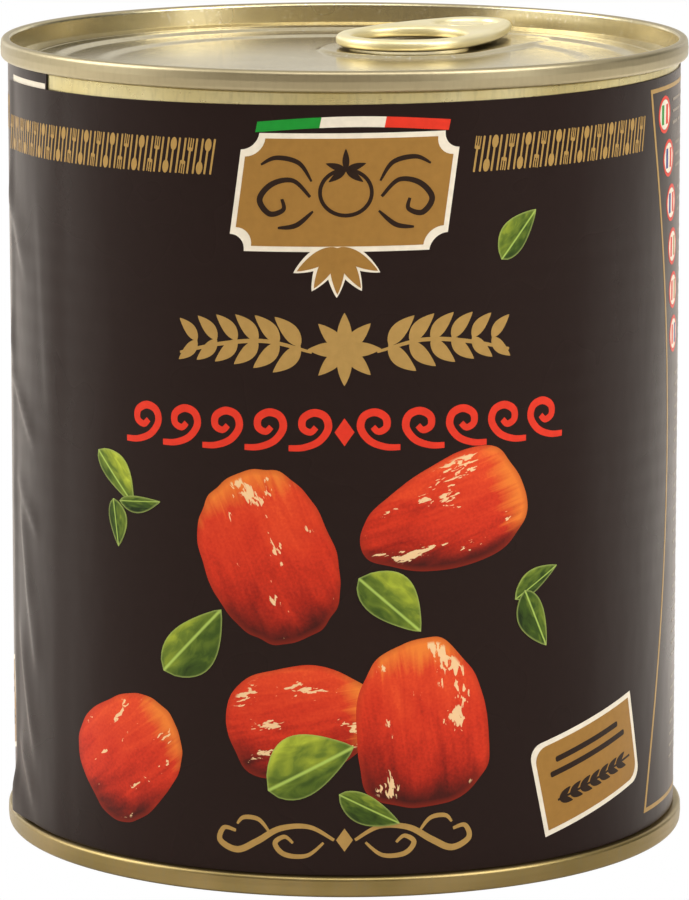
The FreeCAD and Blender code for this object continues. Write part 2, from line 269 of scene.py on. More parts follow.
def build_base(finish):
    """Base end, its rings stepping down from the middle to the standing rim."""
    depth = BASE_DEPTH
    corners = [(0.0, depth, 0.0)]
    for radius in BASE_RINGS:
        corners.append((radius - 1.3, depth, 0.9))
        depth -= BASE_STEP
        corners.append((radius, depth, 0.9))
    lower = rounded(corners + [(44.0, depth, 0.0)]) + seam_path(0.0, -1)
    upper = [(BODY_RADIUS - 0.6, SEAM_HEIGHT + 0.02), (47.0, GROOVE_DEPTH + SHEET), (0.0, FILL_DEPTH)]
    vertices, faces = lathe((lower + upper)[::-1], 288)
    return add_piece("base", vertices, faces, finish, ("bottom_end",))


def build_wall(finish):
    """Beaded body wall behind the label, closed at both ends."""
    path = [(0.0, CAN_HEIGHT - FILL_DEPTH), (44.0, CAN_HEIGHT - FILL_DEPTH)]
    for inset, depth in ((0.06, 3.13), (0.0, 3.19), (0.0, 3.3), (0.0, 5.2)):
        path.append((BODY_RADIUS - inset, CAN_HEIGHT - depth))
    for index in range(BEAD_COUNT):
        middle = BEAD_MIDDLE + BEAD_PITCH * ((BEAD_COUNT - 1) / 2 - index)
        path += [(BODY_RADIUS - depth, middle + shift) for shift, depth in BEAD_PROFILE]
    path += [(BODY_RADIUS, 3.4), (44.0, 7.0), (0.0, 7.0)]
    vertices, faces = lathe(path, 256)
    return add_piece("body_wall", vertices, faces, finish, ("can_body",))


def build_rivet(finish):
    """Button head of the lid's own rivet, over the web of the tab."""
    web_top = CAN_HEIGHT - PLATFORM_DEPTH + TAB_CLEARANCE + TAB_THICKNESS - WEB_DROP
    path = rounded([
        (0.0, web_top + 0.36, 0.0), (0.9, web_top + 0.36, 0.25), (1.1, web_top + 0.5, 0.2),
        (2.7, web_top + 0.5, 0.3), (2.7, web_top + 0.05, 0.12), (1.6, web_top + 0.05, 0.0),
        (1.6, web_top - 0.62, 0.0), (3.9, web_top - 0.62, 0.1), (3.9, web_top - 1.9, 0.0),
        (0.0, web_top - 1.9, 0.0),
    ])
    vertices, faces = lathe(path, 72)
    shift_x = RIVET_AT * math.cos(TAB_ANGLE)
    shift_y = RIVET_AT * math.sin(TAB_ANGLE)
    moved = [(x + shift_x, y + shift_y, z) for x, y, z in vertices]
    return add_piece("rivet", moved, faces, finish)


def build_tab(finish):
    """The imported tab's own shape, welded and shaded smooth."""
    source = frame["nodes"]["pull_tab"].data
    vertices = [tuple(v.co / MM) for v in source.vertices]
    faces = [tuple(p.vertices) for p in source.polygons]
    tab = add_piece("tab", vertices, faces, finish, ("pull_tab",))
    weld = tab.modifiers.new("Weld", "WELD")
    weld.merge_threshold = 0.002 * MM
    remesh = tab.modifiers.new("Remesh", "REMESH")
    remesh.mode = "VOXEL"
    remesh.voxel_size = 0.16 * MM
    soften = tab.modifiers.new("Smooth", "SMOOTH")
    soften.iterations = 6
    soften.factor = 0.5
    bpy.context.view_layer.update()
    shown = tab.evaluated_get(bpy.context.evaluated_depsgraph_get())
    mesh = bpy.data.meshes.new_from_object(shown)
    tab.modifiers.clear()
    tab.data = mesh
    mesh.polygons.foreach_set("use_smooth", [True] * len(mesh.polygons))
    if not mesh.materials:
        mesh.materials.append(finish)
    return tab


# --- Paper: where the wrapped sheet lies ------------------------------------------------------
CREASES = [
    # from (s, z) to (s, z), half width, height: soft folds where the paper was pulled tight
    (-71.0, 101.0, -60.5, 87.0, 2.0, 0.30),
    (-73.0, 84.0, -66.0, 72.0, 1.5, 0.26),
    (-67.0, 70.0, -57.5, 61.5, 1.3, 0.34),
    (-64.0, 54.0, -56.0, 48.0, 1.2, 0.26),
    (-62.5, 50.0, -59.5, 38.0, 1.5, 0.30),
    (-60.0, 39.0, -56.5, 28.0, 1.7, 0.22),
    (-63.5, 31.0, -58.0, 15.5, 1.5, 0.32),
    (-64.0, 14.5, -58.5, 7.0, 1.4, 0.26),
    (-54.0, 96.0, -51.0, 66.0, 2.6, 0.14),
]


def from_front(s):
    """Distance from the front centre line the short way round, for a place anywhere on the sheet."""
    return s - ROUND if s > ROUND / 2 else s


def rise(s):
    """How far the skewed sheet has climbed at s; it levels off under the seam at the back."""
    return SKEW * (s if s < 90 else 90 + 0.42 * (s - 90))


def crease_lift(s, z):
    """Height of the soft folds: steep on their right, and fading in and out along their length."""
    total = 0.0
    for s0, z0, s1, z1, width, height in CREASES:
        run_s, run_z = s1 - s0, z1 - z0
        length = math.hypot(run_s, run_z)
        along = ((s - s0) * run_s + (z - z0) * run_z) / length
        across = ((s - s0) * run_z - (z - z0) * run_s) / length
        fade = smoothstep(-0.25 * length, 0.25 * length, along)
        fade *= smoothstep(1.25 * length, 0.75 * length, along)
        half = width * (0.55 if across > 0 else 1.5)
        total += height * fade * math.exp(-(across / half) ** 2)
    return total


def paper_lift(s, z):
    """Distance of the paper from the metal: the lap, its ridge, soft folds and a lifted corner."""
    lift = 0.0
    if s < 0:
        lift += LAP_LIFT * smoothstep(-46.0, -51.0, s)
        ridge = 0.5 + 0.5 * noise.noise(Vector((0.0, 0.0, z * 0.09)))
        lift += (0.10 + 0.30 * ridge) * math.exp(-((s - OUTER_END) / 1.6) ** 2)
        lift += 0.75 * smoothstep(8.5, 3.0, z + 0.45 * (s + 60)) * smoothstep(-58.0, -66.0, s)
        lift += crease_lift(s, z)
    hand = noise.noise(Vector((from_front(s) * 0.05, z * 0.035, 3.1)))
    lift += 0.05 * (1 + hand) * (0.4 + smoothstep(-30.0, -62.0, from_front(s)))
    return lift


def paper_foot(s):
    """Height of the sheet's lower edge, crumpled up a little beside the lap."""
    crumple = 1.5 * math.exp(-((from_front(s) + 73.0) / 3.0) ** 2) * (1.0 if s > 0 else 0.35)
    return LABEL_BOTTOM + crumple + 0.25 * smoothstep(40.0, 70.0, abs(from_front(s)))


def on_paper(s, z, proud=0.0):
    """Point on the paper's outer face; z is the height on the flat sheet, before its skew."""
    height = z + rise(s)
    radius = PAPER_INNER + PAPER + paper_lift(s, height) + proud
    angle = s / (PAPER_INNER + PAPER)
    return (radius * math.sin(angle), -radius * math.cos(angle), height)


def label_stations():
    """Places round the sheet where its grid has a column, closest together at the lap's folds."""
    stations = [OUTER_END]
    s = OUTER_END + LABEL_RIM
    while s < INNER_END - LABEL_RIM:
        stations.append(s)
        s += 0.55 if s < -44 else (1.3 if s < 230 else 0.9)
    return stations + [INNER_END - LABEL_RIM, INNER_END]


def build_label(finish):
    """One sheet from its outer end, round the can, to its inner end under the lap."""
    stations = label_stations()
    outer, inner = [], []
    for s in stations:
        foot = paper_foot(s) - rise(s)
        step = (LABEL_TOP - foot - 2 * LABEL_RIM) / (LABEL_ROWS - 2)
        levels = [foot + LABEL_RIM + step * k for k in range(LABEL_ROWS - 1)]
        for z in [foot, *levels, LABEL_TOP]:
            outer.append(on_paper(s, z))
            inner.append(on_paper(s, z, -PAPER))
    column = LABEL_ROWS + 1
    half = len(outer)
    faces = []
    for low in range(0, half - column, column):
        for a in range(low, low + LABEL_ROWS):
            b = a + column
            faces.append((a, b, b + 1, a + 1))
            faces.append((half + a, half + a + 1, half + b + 1, half + b))
        high = low + LABEL_ROWS
        faces.append((low, half + low, half + low + column, low + column))
        faces.append((high, high + column, half + high + column, half + high))
    for k in range(LABEL_ROWS):
        end = half - column + k
        faces.append((k, k + 1, half + k + 1, half + k))
        faces.append((end, half + end, half + end + 1, end + 1))
    return add_piece("label", outer + inner, faces, finish, ("paper_label", "label_underlap"))


# --- Flat shapes, in millimetres --------------------------------------------------------------
def placed(shape, s, z, turn=0.0, size=1.0, mirror=False):
    """Turn, scale and move a shape; turn is in degrees, anticlockwise."""
    cos, sin = math.cos(math.radians(turn)), math.sin(math.radians(turn))
    moved = []
    for x, y in shape:
        x = -x if mirror else x
        moved.append((s + size * (x * cos - y * sin), z + size * (x * sin + y * cos)))
    return moved


def both_ways(shapes, s, z):
    """Each shape as it is and mirrored, about the same middle."""
    return [placed(shape, s, z, 0, 1.0, mirror) for shape in shapes for mirror in (False, True)]


def ellipse(half_x, half_y, count):
    angles = [2 * math.pi * k / count for k in range(count)]
    return [(half_x * math.cos(angle), half_y * math.sin(angle)) for angle in angles]


def diamond(half_x, half_y):
    return [(0, half_y), (half_x, 0), (0, -half_y), (-half_x, 0)]


def bar(width, height, corner=0.0):
    """Rectangle about its centre, with its corners rounded."""
    x, y = width / 2, height / 2
    if corner <= 0:
        return [(-x, -y), (x, -y), (x, y), (-x, y)]
    points = []
    for cx, cy, start in ((x, -y, -90), (x, y, 0), (-x, y, 90), (-x, -y, 180)):
        for k in range(7):
            angle = math.radians(start + 15 * k)
            points.append((cx - math.copysign(corner, cx) + corner * math.cos(angle),
                           cy - math.copysign(corner, cy) + corner * math.sin(angle)))
    return points


def through(points, steps, closed=False):
    """Smooth curve through points (Catmull-Rom)."""
    count = len(points)
    curve = []
    for i in range(count if closed else count - 1):
        around = range(i - 1, i + 3)
        p = [points[j % count] if closed else points[min(max(j, 0), count - 1)] for j in around]
        for k in range(steps):
            t = k / steps
            curve.append(tuple(
                0.5 * (2 * p[1][a] + (p[2][a] - p[0][a]) * t
                       + (2 * p[0][a] - 5 * p[1][a] + 4 * p[2][a] - p[3][a]) * t * t
                       + (3 * p[1][a] - p[0][a] - 3 * p[2][a] + p[3][a]) * t ** 3) for a in (0, 1)))
    if not closed:
        curve.append(tuple(points[-1]))
    return curve


def stroke(points, width, taper, steps=8):
    """Pen stroke of a width along a smooth line, thinner at its ends by the taper's share."""
    line = through(points, steps)
    left, right = [], []
    for index, (x, y) in enumerate(line):
        before = line[max(index - 1, 0)]
        after = line[min(index + 1, len(line) - 1)]
        length = math.hypot(after[0] - before[0], after[1] - before[1]) or 1.0
        share = index / (len(line) - 1)
        half = 0.5 * width * (1 - taper * (1 - math.sin(math.pi * share)))
        nx, ny = -(after[1] - before[1]) / length * half, (after[0] - before[0]) / length * half
        left.append((x + nx, y + ny))
        right.append((x - nx, y - ny))
    return left + right[::-1]


def leaf(length, width, bend=0.0):
    """Pointed leaf along +x from its stalk, bent to one side."""
    upper, lower = [], []
    for k in range(17):
        t = k / 16
        half = 0.5 * width * math.sin(math.pi * t ** 0.85) ** 0.8 * (1 - 0.25 * t)
        middle = bend * math.sin(math.pi * t)
        upper.append((length * t, middle + half))
        lower.append((length * t, middle - half))
    return upper + lower[-2:0:-1]


# --- Ink: flat shapes as thin solids on the sheet ---------------------------------------------
def divided(loop, longest):
    """The same outline with its long sides cut up, so that they can curve with the sheet."""
    points = []
    for index, (x0, y0) in enumerate(loop):
        x1, y1 = loop[(index + 1) % len(loop)]
        count = max(1, math.ceil(math.hypot(x1 - x0, y1 - y0) / longest))
        points += [(x0 + (x1 - x0) * k / count, y0 + (y1 - y0) * k / count) for k in range(count)]
    return points


def inside(loop, x, y):
    """Whether a point lies within an outline."""
    within = False
    for index, (x0, y0) in enumerate(loop):
        x1, y1 = loop[index - 1]
        if (y0 > y) != (y1 > y) and x < (x1 - x0) * (y - y0) / (y1 - y0) + x0:
            within = not within
    return within


def ink_mesh(loops, layer, pitch):
    """Thin closed solid of ink inside the first outline and outside the rest.

    It lies on a grid fine enough to curve with the sheet. Returns vertices, faces and each
    vertex's (s, z).
    """
    loops = [divided(loop, pitch) for loop in loops]
    points = [Vector(p) for loop in loops for p in loop]
    edges = []
    start = 0
    for loop in loops:
        edges += [(start + k, start + (k + 1) % len(loop)) for k in range(len(loop))]
        start += len(loop)
    low = [min(p[a] for p in points) for a in (0, 1)]
    high = [max(p[a] for p in points) for a in (0, 1)]
    for i in range(1, math.ceil((high[0] - low[0]) / pitch)):
        for j in range(1, math.ceil((high[1] - low[1]) / pitch)):
            jog = 0.5 * pitch * (j % 2)
            # the odd hundredths keep the grid's points off the outlines' own
            points.append(Vector((low[0] + i * pitch + jog + 0.013, low[1] + j * pitch + 0.017)))
    flat, _, triangles, _, _, _ = delaunay_2d_cdt(points, edges, [], 1, 1e-5)
    for hole in loops[1:]:
        middles = [sum((flat[v] for v in t), Vector((0.0, 0.0))) / 3 for t in triangles]
        triangles = [t for t, m in zip(triangles, middles) if not inside(hole, m.x, m.y)]
    used = sorted({v for t in triangles for v in t})
    index = {v: k for k, v in enumerate(used)}
    triangles = [tuple(index[v] for v in t) for t in triangles]
    count = len(used)
    vertices = [on_paper(flat[v].x, flat[v].y, INK * layer) for v in used]
    vertices += [on_paper(flat[v].x, flat[v].y, -INK_ROOT) for v in used]
    marks = [(flat[v].x, flat[v].y) for v in used] * 2
    faces = []
    sides = set()
    for a, b, c in triangles:
        faces += [(a, b, c), (count + a, count + c, count + b)]
        sides |= {(a, b), (b, c), (c, a)}
    faces += [(b, a, count + a, count + b) for a, b in sorted(sides) if (b, a) not in sides]
    return vertices, faces, marks


def add_ink(name, shapes, layer, finish):
    """All shapes of one ink in one piece. A shape is an outline, or a list of outline and holes."""
    vertices, faces = [], []
    for shape in shapes:
        loops = shape if isinstance(shape[0], list) else [shape]
        made, polygons, _ = ink_mesh(loops, layer, INK_PITCH)
        first = len(vertices)
        vertices += made
        faces += [tuple(first + v for v in f) for f in polygons]
    return add_piece(name, vertices, faces, finish, smooth=False)


def edge_distance(outline, s, z):
    """Distance from a point to the nearest side of an outline."""
    best = math.inf
    for index, (x0, y0) in enumerate(outline):
        x1, y1 = outline[(index + 1) % len(outline)]
        dx, dy = x1 - x0, y1 - y0
        t = min(max(((s - x0) * dx + (z - y0) * dy) / (dx * dx + dy * dy + 1e-12), 0.0), 1.0)
        best = min(best, math.hypot(s - x0 - t * dx, z - y0 - t * dy))
    return best


def add_picture(name, motifs, layer, finish):
    """Printed motifs, each with its own frame (s, z, turn, half length, half width) and tone.

    The finish reads "spot", the place within the motif from -1 to 1 with the tone as its third
    value, "depth", the distance in millimetres from the motif's outline, and "height", from 0 at
    the motif's lowest point to 1 at its highest.
    """
    vertices, faces, spots, depths, heights = [], [], [], [], []
    for index, (outline, (s0, z0, turn, half_x, half_y), tone) in enumerate(motifs):
        made, polygons, marks = ink_mesh([outline], layer + 0.25 * index, PICTURE_PITCH)
        lowest, highest = min(z for _, z in outline), max(z for _, z in outline)
        first = len(vertices)
        vertices += made
        faces += [tuple(first + v for v in f) for f in polygons]
        cos, sin = math.cos(math.radians(turn)), math.sin(math.radians(turn))
        for s, z in marks:
            spots += [((s - s0) * cos + (z - z0) * sin) / half_x,
                      (-(s - s0) * sin + (z - z0) * cos) / half_y, tone]
            depths.append(edge_distance(outline, s, z))
            heights.append((z - lowest) / (highest - lowest))
    piece = add_piece(name, vertices, faces, finish, smooth=False)
    piece.data.attributes.new("spot", "FLOAT_VECTOR", "POINT").data.foreach_set("vector", spots)
    piece.data.attributes.new("depth", "FLOAT", "POINT").data.foreach_set("value", depths)
    piece.data.attributes.new("height", "FLOAT", "POINT").data.foreach_set("value", heights)
    return piece


# --- Materials --------------------------------------------------------------------------------
# Cell sizes of the patterns, in millimetres. The rolling lines, plate grain and paper fibre of a
# real can are finer than these; they are drawn as coarse as they need to show.
ROLLING_LINES = 1.11
PLATE_GRAIN = 0.192
LACQUER_CLOUDS = 14.3
LACQUER_SPECKS = 0.667
SCUFFS = 0.667
INK_MOTTLE = 1.11
SKIN_GRAIN = 0.385
PAPER_FIBRE = 0.385
PAPER_WAVES = 7.7
HANDLING = 22.2                       # patches where the varnish is rubbed duller
BEAD_PATCHES = 29.4                   # patches where the beads press through more, or less


def linear(code):
    """An sRGB colour such as "#c8a564" as linear RGBA."""
    parts = [int(code[k:k + 2], 16) / 255 for k in (1, 3, 5)]
    return tuple(c / 12.92 if c <= 0.04045 else ((c + 0.055) / 1.055) ** 2.4 for c in parts) + (1.0,)


def add_node(tree, kind, inputs=None, stops=(), **settings):
    """Add a shader node and return its outputs.

    Inputs are keyed by name or number, and are values or sockets to link from. Stops are those
    of a colour ramp: a position with a hex colour or a grey.
    """
    made = tree.nodes.new("ShaderNode" + kind)
    for key, value in settings.items():
        setattr(made, key, value)
    for key, value in (inputs or {}).items():
        if isinstance(value, bpy.types.NodeSocket):
            tree.links.new(value, made.inputs[key])
        else:
            made.inputs[key].default_value = value
    if stops:
        elements = made.color_ramp.elements
        while len(elements) < len(stops):
            elements.new(0.5)
        for element, (position, colour) in zip(elements, stops):
            element.position = position
            element.color = linear(colour) if isinstance(colour, str) else (colour, colour, colour, 1.0)
    return made.outputs


def summed(tree, start, *terms):
    """A number or a socket, with each (socket, weight) of the terms added to it."""
    for socket, weight in terms:
        start = add_node(tree, "Math", {0: socket, 1: weight, 2: start}, operation="MULTIPLY_ADD")[0]
    return start


def overlaid(tree, colour, *coats):
    """A colour with each (mask, hex colour) of the coats laid over it in turn."""
    for mask, coat in coats:
        colour = add_node(tree, "Mix", {0: mask, 6: colour, 7: linear(coat)}, data_type="RGBA")[2]
    return colour


def grain_on_can(tree, size, stretch=(1, 1, 1), detail=2.0):
    """Noise fixed to the can, with cells of a size in millimetres, drawn out along x, y or z."""
    place = add_node(tree, "TexCoord")["Object"]
    scale = [1 / (size * MM * longer) for longer in stretch]
    cells = add_node(tree, "Mapping", {"Vector": place, "Scale": scale})[0]
    return add_node(tree, "TexNoise", {"Vector": cells, "Scale": 1.0, "Detail": detail})["Fac"]


def grain_on_motif(tree, spot, cells, detail=3.0, twist=0.6):
    """Noise on a printed motif, with so many cells to half its length, half its width and a tone."""
    place = add_node(tree, "Mapping", {"Vector": spot, "Scale": cells})[0]
    return add_node(tree, "TexNoise", {
        "Vector": place, "Scale": 1.0, "Detail": detail, "Distortion": twist})["Fac"]


def new_finish(name):
    made = bpy.data.materials.new(name)
    made.use_nodes = True
    made.node_tree.nodes.clear()
    return made, made.node_tree


def finished(tree, sockets):
    """End a material in one principled shader."""
    shader = add_node(tree, "BsdfPrincipled", sockets)[0]
    add_node(tree, "OutputMaterial", {"Surface": shader})


def worn_seam(tree, colour, roughness, cloud, recess_rough):
    """Colour and roughness of an end whose handled seam is greyer than its glossy, specked recess."""
    place = add_node(tree, "TexCoord")["Object"]
    flat = add_node(tree, "VectorMath", {0: place, 1: (1.0, 1.0, 0.0)}, operation="MULTIPLY")[0]
    radius = add_node(tree, "VectorMath", {0: flat}, operation="LENGTH")["Value"]
    on_seam, beyond_panel = (
        add_node(tree, "Math", {0: radius, 1: (limit + 0.2) * MM}, operation="GREATER_THAN")[0]
        for limit in (CHUCK_TOP_RADIUS, PANEL_RADIUS))
    recess = summed(tree, recess_rough, (cloud, 0.05), (beyond_panel, 0.09))
    roughness = add_node(tree, "Mix", {0: on_seam, 2: recess, 3: roughness})[0]
    specks = grain_on_can(tree, LACQUER_SPECKS)
    specks = add_node(tree, "ValToRGB", {"Fac": specks}, [(0.60, 0.0), (0.72, 0.5)])[0]
    inside_seam = summed(tree, 1.0, (on_seam, -1.0))
    specks = add_node(tree, "Math", {0: specks, 1: inside_seam}, operation="MULTIPLY")[0]
    greyer = summed(tree, 0.0, (on_seam, 0.60))
    return overlaid(tree, colour, (greyer, "#9a8d70"), (specks, "#f4efe0")), roughness


def lacquered_tinplate(name, light, deep, rough, metal=1.0, recess_rough=None, wear=0.0, underside_shade=None):
    """Rolled tinplate under a clear gold food lacquer: tinted mirror with faint rolling streaks.

    A thicker, cloudier lacquer has a lower metal share, and scatters more light by itself. The
    lid's recess stays glossier than its worn seam; a tab's downward faces get painted shade.
    """
    made, tree = new_finish(name)
    streaks = grain_on_can(tree, ROLLING_LINES, (15, 1, 1), 3.0)
    cloud = grain_on_can(tree, LACQUER_CLOUDS)
    thick = add_node(tree, "ValToRGB", {"Fac": cloud}, [(0.35, 0.0), (0.65, 1.0)])[0]
    colour = overlaid(tree, linear(light), (thick, deep))
    roughness = summed(tree, rough, (streaks, 0.09))
    if recess_rough is not None:
        colour, roughness = worn_seam(tree, colour, roughness, cloud, recess_rough)
    if wear:
        scuffs = grain_on_can(tree, SCUFFS, (1, 1, 3.57), 4.0)
        scuffs = add_node(tree, "ValToRGB", {"Fac": scuffs}, [(0.28, wear), (0.52, 0.0)])[0]
        colour = overlaid(tree, colour, (scuffs, "#8d8468"))
    if underside_shade:
        # Painted shade: faces that point downwards are blended towards a dark colour, for the shadow under
        # the tab.
        normal = add_node(tree, "NewGeometry")["Normal"]
        upward = summed(tree, 0.5, (add_node(tree, "SeparateXYZ", {0: normal})[2], 0.5))
        below = add_node(tree, "ValToRGB", {"Fac": upward}, [(0.05, 1.0), (0.25, 0.0)])[0]
        colour = overlaid(tree, colour, (below, underside_shade))
    plate_grain = grain_on_can(tree, PLATE_GRAIN, detail=1.0)
    bump = add_node(tree, "Bump", {"Height": plate_grain, "Strength": 0.10, "Distance": 0.02 * MM})[0]
    finished(tree, {
        "Base Color": colour, "Metallic": metal, "Roughness": roughness, "Normal": bump,
        "Coat Weight": 0.15, "Coat Roughness": 0.18, "Coat IOR": 1.5})
    return made


def paper_relief(tree):
    """Normal of the printed sheet: the body's beads pressing through it, and the paper's fibre."""
    place = add_node(tree, "TexCoord")["Object"]
    z = add_node(tree, "SeparateXYZ", {0: place})[2]
    height = add_node(tree, "Math", {0: z, 1: BEAD_MIDDLE * MM}, operation="SUBTRACT")[0]
    angle = summed(tree, 0.0, (height, 2 * math.pi / (BEAD_PITCH * MM)))
    wave = add_node(tree, "Math", {0: angle}, operation="COSINE")[0]
    reach = add_node(tree, "Math", {0: height}, operation="ABSOLUTE")[0]
    reach = summed(tree, 0.0, (reach, 2 / (BEAD_COUNT * BEAD_PITCH * MM)))
    within = add_node(tree, "ValToRGB", {"Fac": reach}, [(0.86, 1.0), (1.0, 0.0)])[0]
    patches = grain_on_can(tree, BEAD_PATCHES)
    patches = add_node(tree, "ValToRGB", {"Fac": patches}, [(0.38, 0.25), (0.62, 1.0)])[0]
    beads = add_node(tree, "Math", {0: wave, 1: within}, operation="MULTIPLY")[0]
    beads = add_node(tree, "Math", {0: beads, 1: patches}, operation="MULTIPLY")[0]
    soft = grain_on_can(tree, PAPER_WAVES, (1, 1, 2))
    fibre = grain_on_can(tree, PAPER_FIBRE, detail=3.0)
    relief = summed(tree, 0.0, (soft, 0.12 * MM), (beads, 0.018 * MM), (fibre, 0.003 * MM))
    return add_node(tree, "Bump", {"Height": relief, "Strength": 1.0, "Distance": 1.0})[0]


def printed_paper(name, colour, rough=0.36, sheen=0.0):
    """Coated label stock with a flat ink and a satin varnish; scuffed dark stock has a warm sheen."""
    made, tree = new_finish(name)
    mottle = grain_on_can(tree, INK_MOTTLE, detail=3.0)
    shade = add_node(tree, "ValToRGB", {"Fac": mottle}, [(0.3, 0.90), (0.7, 1.0)])[0]
    ink = add_node(tree, "Mix", {0: 1.0, 6: linear(colour), 7: shade}, data_type="RGBA",
                   blend_type="MULTIPLY")[2]
    roughness = summed(tree, rough - 0.06, (grain_on_can(tree, HANDLING), 0.12))
    finished(tree, {
        "Base Color": ink, "Roughness": roughness, "Normal": paper_relief(tree),
        "Sheen Weight": sheen, "Sheen Roughness": 0.28, "Sheen Tint": linear("#e2a272"),
        "Specular IOR Level": PRINT_GLOSS, "Specular Tint": linear("#f2dccc")})
    return made


def motif_reader(tree):
    """What the printed pictures hold at each point: spot, along, across, tone, depth and height."""
    spot = add_node(tree, "Attribute", attribute_name="spot")["Vector"]
    along, across, tone = add_node(tree, "SeparateXYZ", {0: spot})
    depth = add_node(tree, "Attribute", attribute_name="depth")["Fac"]
    height = add_node(tree, "Attribute", attribute_name="height")["Fac"]
    return spot, along, across, tone, depth, height


def picture_ink(tree, colour):
    """End a picture's material in the same varnish as the flat inks."""
    finished(tree, {
        "Base Color": colour, "Roughness": 0.36, "Specular IOR Level": PRINT_GLOSS,
        "Normal": paper_relief(tree)})


def tomato_print(name):
    """Printed semi-dried tomatoes: wet red skin, orange at the stalk's end, sharp pale glints, dark below."""
    made, tree = new_finish(name)
    spot, along, _, _, depth, height = motif_reader(tree)
    cloud = grain_on_motif(tree, spot, (1.3, 1.82, 3.9))
    wrinkles = grain_on_motif(tree, spot, (1.12, 7.2, 4.8), 4.0, 0.9)
    grain = grain_on_can(tree, SKIN_GRAIN, detail=1.0)
    lit = summed(tree, -0.39, (height, 0.60), (cloud, 0.50), (wrinkles, 0.36), (grain, 0.24))
    skin = add_node(tree, "ValToRGB", {"Fac": lit}, [
        (0.08, "#6a140c"), (0.28, "#a82412"), (0.45, "#cb331a"), (0.66, "#dc4522"), (0.88, "#ee642e"),
        (1.0, "#f8923e")])[0]
    crown = summed(tree, -0.55, (along, 1.0), (wrinkles, 0.55))
    crown = add_node(tree, "ValToRGB", {"Fac": crown}, [(0.34, 0.0), (0.62, 0.75)])[0]
    under = summed(tree, -0.24, (height, 1.0), (cloud, 0.40), (depth, 0.04))
    under = add_node(tree, "ValToRGB", {"Fac": under}, [(0.05, 0.90), (0.34, 0.0)])[0]
    rim = add_node(tree, "ValToRGB", {"Fac": depth}, [(0.05, 0.45), (0.9, 0.0)])[0]
    clusters = grain_on_motif(tree, spot, (1.89, 2.73, 10.5), 1.0, 0.0)
    drops = grain_on_motif(tree, spot, (9.2, 17.0, 8.0), 2.5, 0.5)
    wet = summed(tree, -0.025, (clusters, 0.62), (drops, 0.38), (height, 0.05))
    wet = add_node(tree, "ValToRGB", {"Fac": wet}, [(0.618, 0.0), (0.630, 0.9)])[0]
    off_rim = add_node(tree, "ValToRGB", {"Fac": depth}, [(0.6, 0.0), (1.0, 1.0)])[0]
    glints = add_node(tree, "Math", {0: wet, 1: off_rim}, operation="MULTIPLY")[0]
    picture_ink(tree, overlaid(
        tree, skin, (crown, "#ee8a34"), (under, "#3a120c"), (rim, "#a02a14"), (glints, "#f2cf9c")))
    return made


def leaf_print(name):
    """Printed basil leaves: full green to yellow-green, a pale midrib, one half in shade."""
    made, tree = new_finish(name)
    spot, along, across, tone, depth, _ = motif_reader(tree)
    from_rib = add_node(tree, "Math", {0: across}, operation="ABSOLUTE")[0]
    bent = grain_on_motif(tree, spot, (1.6, 1.6, 1.6))
    slant = summed(tree, 0.0, (along, 11.0), (from_rib, -9.9), (bent, 7.0))
    veins = add_node(tree, "Math", {0: slant}, operation="SINE")[0]
    patches = grain_on_motif(tree, spot, (1.8, 2.34, 1.8), 4.0)
    own = add_node(tree, "Math", {0: summed(tree, 0.0, (tone, 2.9))}, operation="SINE")[0]
    lit = summed(tree, 0.12, (across, 0.20), (veins, 0.025), (patches, 0.62), (own, 0.10))
    green = add_node(tree, "ValToRGB", {"Fac": lit}, [
        (0.16, "#1a2a0b"), (0.36, "#3c5218"), (0.54, "#677a27"), (0.70, "#98a532"), (0.86, "#c6d046")])[0]
    rib = add_node(tree, "ValToRGB", {"Fac": from_rib}, [(0.015, 0.8), (0.07, 0.0)])[0]
    rim = add_node(tree, "ValToRGB", {"Fac": depth}, [(0.0, 0.7), (0.28, 0.0)])[0]
    picture_ink(tree, overlaid(tree, green, (rib, "#b4cf62"), (rim, "#9cab5c")))
    return made


# --- What is printed --------------------------------------------------------------------------
def blob(half_x, half_y, seed, egg):
    """Rounded fruit outline, a little uneven, from a fixed seed. It is wider at +x where egg is above 0."""
    count, unevenness = 68, 0.04
    draw = random.Random(seed)
    waves = [(k, draw.uniform(-1, 1) * unevenness / k ** 0.55, draw.uniform(0, 6.28))
             for k in (2, 3, 4, 5, 7, 11, 17)]
    outline = []
    for i in range(count):
        angle = 2 * math.pi * i / count
        grow = 1 + sum(size * math.cos(k * angle + phase) for k, size, phase in waves)
        x, y = (grow * math.copysign(abs(part) ** 0.86, part) for part in (math.cos(angle), math.sin(angle)))
        outline.append((half_x * x, half_y * y * (1 + egg * x)))
    return outline


TOMATOES = [
    # s, z, turn, half length, half width, seed, egg
    (-10.9, 49.3, 113.0, 12.7, 9.5, 61, 0.02),
    (14.6, 54.8, 17.0, 12.6, 7.7, 24, 0.26),
    (-33.8, 18.7, 36.0, 10.0, 8.7, 35, -0.14),
    (-6.4, 25.6, 10.0, 10.7, 8.1, 47, -0.10),
    (11.2, 25.1, 96.0, 12.1, 10.0, 52, -0.18),
]
LEAVES = [
    # s, z of the stalk, turn, length, width, bend
    (22.9, 91.0, 50.0, 8.8, 5.0, 0.6),
    (-39.2, 62.8, -47.0, 10.0, 5.0, 0.9),
    (-35.0, 55.8, 4.0, 7.4, 2.8, -0.5),
    (-36.2, 56.0, -82.0, 7.0, 3.8, 0.5),
    (-27.2, 31.8, 46.0, 13.4, 8.6, -0.9),
    (2.0, 46.4, -42.0, 12.0, 8.0, 1.0),
    (25.4, 41.8, 30.0, 8.4, 3.6, 0.6),
    (27.0, 43.0, -66.0, 9.4, 5.2, -0.6),
    (-11.0, 15.4, 28.0, 14.0, 10.0, 1.2),
    (-0.8, 15.0, -27.0, 9.8, 4.8, -0.4),
]


